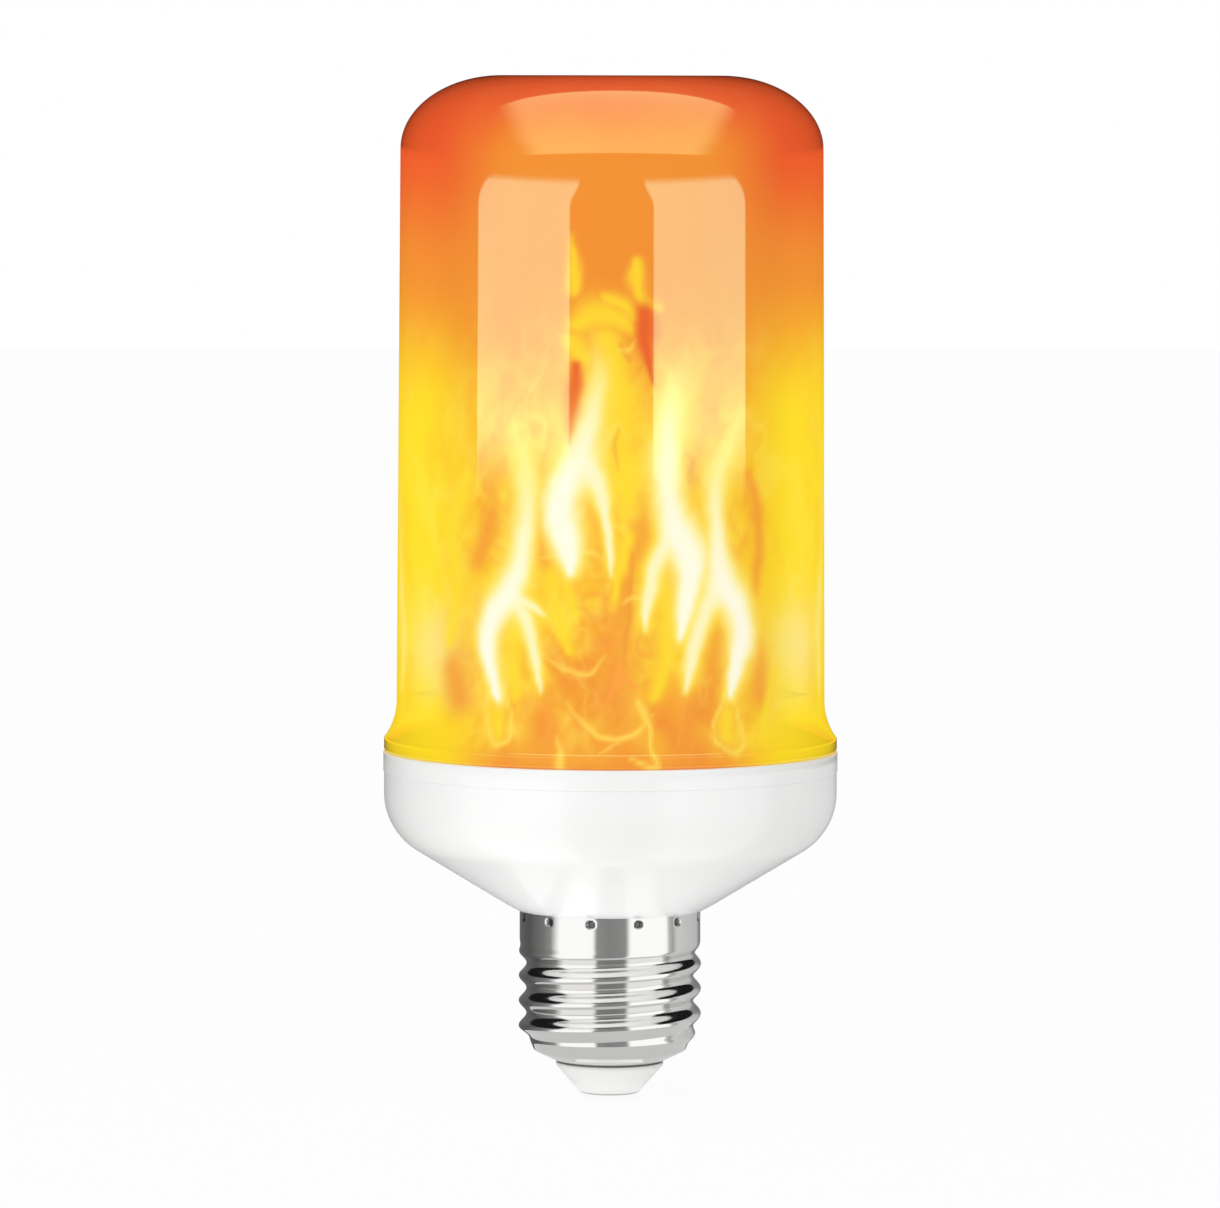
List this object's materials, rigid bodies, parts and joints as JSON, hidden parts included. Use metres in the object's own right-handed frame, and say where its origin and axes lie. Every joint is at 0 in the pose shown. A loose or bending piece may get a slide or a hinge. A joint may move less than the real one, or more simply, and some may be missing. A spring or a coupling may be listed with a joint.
{
  "type": "flame effect led bulb",
  "caption": "LED lamp with a tall lit flame-coloured cover, a white conical housing and a nickel-plated standard screw cap.",
  "frame": {"origin": "centre of the lower face of the centre contact, on the lamp's axis, at the lower end of the screw cap", "axes": "+Z along the lamp's axis from the contact towards the top of the cover; the picture's camera looks along +Y, so -Y is the side it shows and +X is its right"},
  "size_m": [0.0654, 0.0654, 0.1469],
  "materials": {
    "cover_plastic": "smooth translucent, lit from inside",
    "housing_plastic": "smooth satin gloss",
    "nickel_plate": "bright nickel plate on rolled brass",
    "insulator_plastic": "smooth",
    "contact_metal": "bright",
    "white_plastic": "moulded",
    "screw_steel": "zinc plated",
    "board_white": "white solder mask",
    "led_package": "phosphor under clear resin",
    "board_green": "green solder mask",
    "capacitor_sleeve": "shrunk sleeve",
    "ferrite": "dull",
    "copper": "enamelled wire",
    "resistor_body": "lacquered",
    "package_plastic": "moulded",
    "lead_red": "insulated wire",
    "lead_black": "insulated wire"
  },
  "bodies": {
    "root": {"diffuser_cover": "cover_plastic", "base_housing": "housing_plastic", "screw_shell": "nickel_plate", "cap_insulator": "insulator_plastic", "centre_contact": "contact_metal", "carrier_deck": "white_plastic", "deck_screws": "screw_steel", "led_former": "white_plastic", "led_sheet": "board_white", "side_leds": "led_package", "top_board": "board_white", "top_leds": "led_package", "driver_board": "board_green", "filter_capacitor": "capacitor_sleeve", "output_capacitor": "capacitor_sleeve", "choke_core": "ferrite", "choke_winding": "copper", "fuse_resistor": "resistor_body", "bridge_rectifier": "package_plastic", "driver_chip": "package_plastic", "flame_controller": "package_plastic", "output_diode": "package_plastic", "live_lead": "lead_red", "neutral_lead": "lead_black", "led_lead_positive": "lead_red", "led_lead_negative": "lead_black"}
  },
  "joints": []
}
